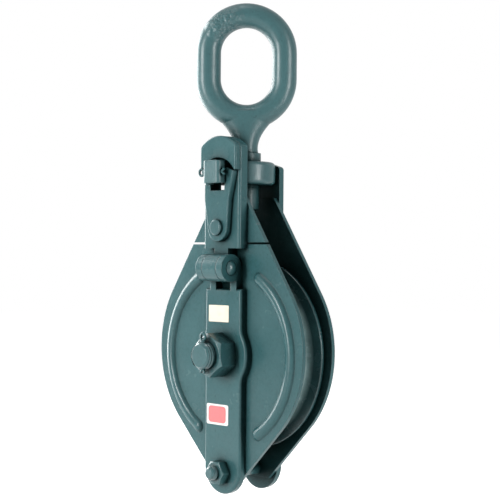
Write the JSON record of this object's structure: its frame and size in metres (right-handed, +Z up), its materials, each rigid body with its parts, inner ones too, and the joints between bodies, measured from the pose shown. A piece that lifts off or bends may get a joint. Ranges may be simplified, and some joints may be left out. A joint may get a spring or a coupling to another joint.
{
  "type": "snatch block",
  "caption": "Steel-plate pulley block with a swivel eye and a hinged, latched side plate that opens to take a rope.",
  "frame": {"origin": "hanging seat: the lowest point of the eye's top bar, inside the eye, where a hook or shackle bears", "axes": "+Z up along the swivel; -Y out of the hinged front side plate; +X to the viewer's right of the front; Y is the sheave's axis"},
  "size_m": [0.164, 0.0841, 0.3883],
  "materials": {
    "enamel": "gloss",
    "bare_steel": "satin",
    "sheave_iron": "satin",
    "bronze": "satin"
  },
  "bodies": {
    "eye": {"eye_bolt": "enamel", "eye_collar": "enamel", "thrust_washer": "bare_steel", "swivel_nut": "enamel", "nut_pin": "bare_steel"},
    "frame": {"crosshead": "enamel", "rear_strap": "enamel", "rear_cheek": "enamel", "front_strap": "enamel", "front_cheek": "enamel", "centre_pin": "enamel", "centre_nut": "enamel", "centre_split_pin": "bare_steel", "tie_bolt": "enamel", "tie_nut": "enamel", "hinge_pin": "enamel", "lock_split_pin": "bare_steel"},
    "sheave": {"sheave": "sheave_iron", "sheave_bush": "bronze"},
    "gate": {"gate_strap": "enamel", "gate_cheek": "enamel", "gate_cap": "enamel", "latch_rivet": "enamel"},
    "latch": {"latch_lever": "enamel"}
  },
  "joints": [
    {"name": "eye_swivel", "type": "hinge", "parent": "eye", "child": "frame", "pos_m": [0, 0, -0.1163], "axis": [0, 0, 1], "continuous": true},
    {"name": "sheave_spin", "type": "hinge", "parent": "frame", "child": "sheave", "pos_m": [0, 0, -0.2591], "axis": [0, 1, 0], "continuous": true},
    {"name": "gate_hinge", "type": "hinge", "parent": "frame", "child": "gate", "pos_m": [0, -0.02855, -0.1911], "axis": [1, 0, 0], "range_deg": [0, 150]},
    {"name": "latch_turn", "type": "hinge", "parent": "gate", "child": "latch", "pos_m": [0, -0.0282, -0.1595], "axis": [0, 1, 0], "range_deg": [0, 60]}
  ]
}
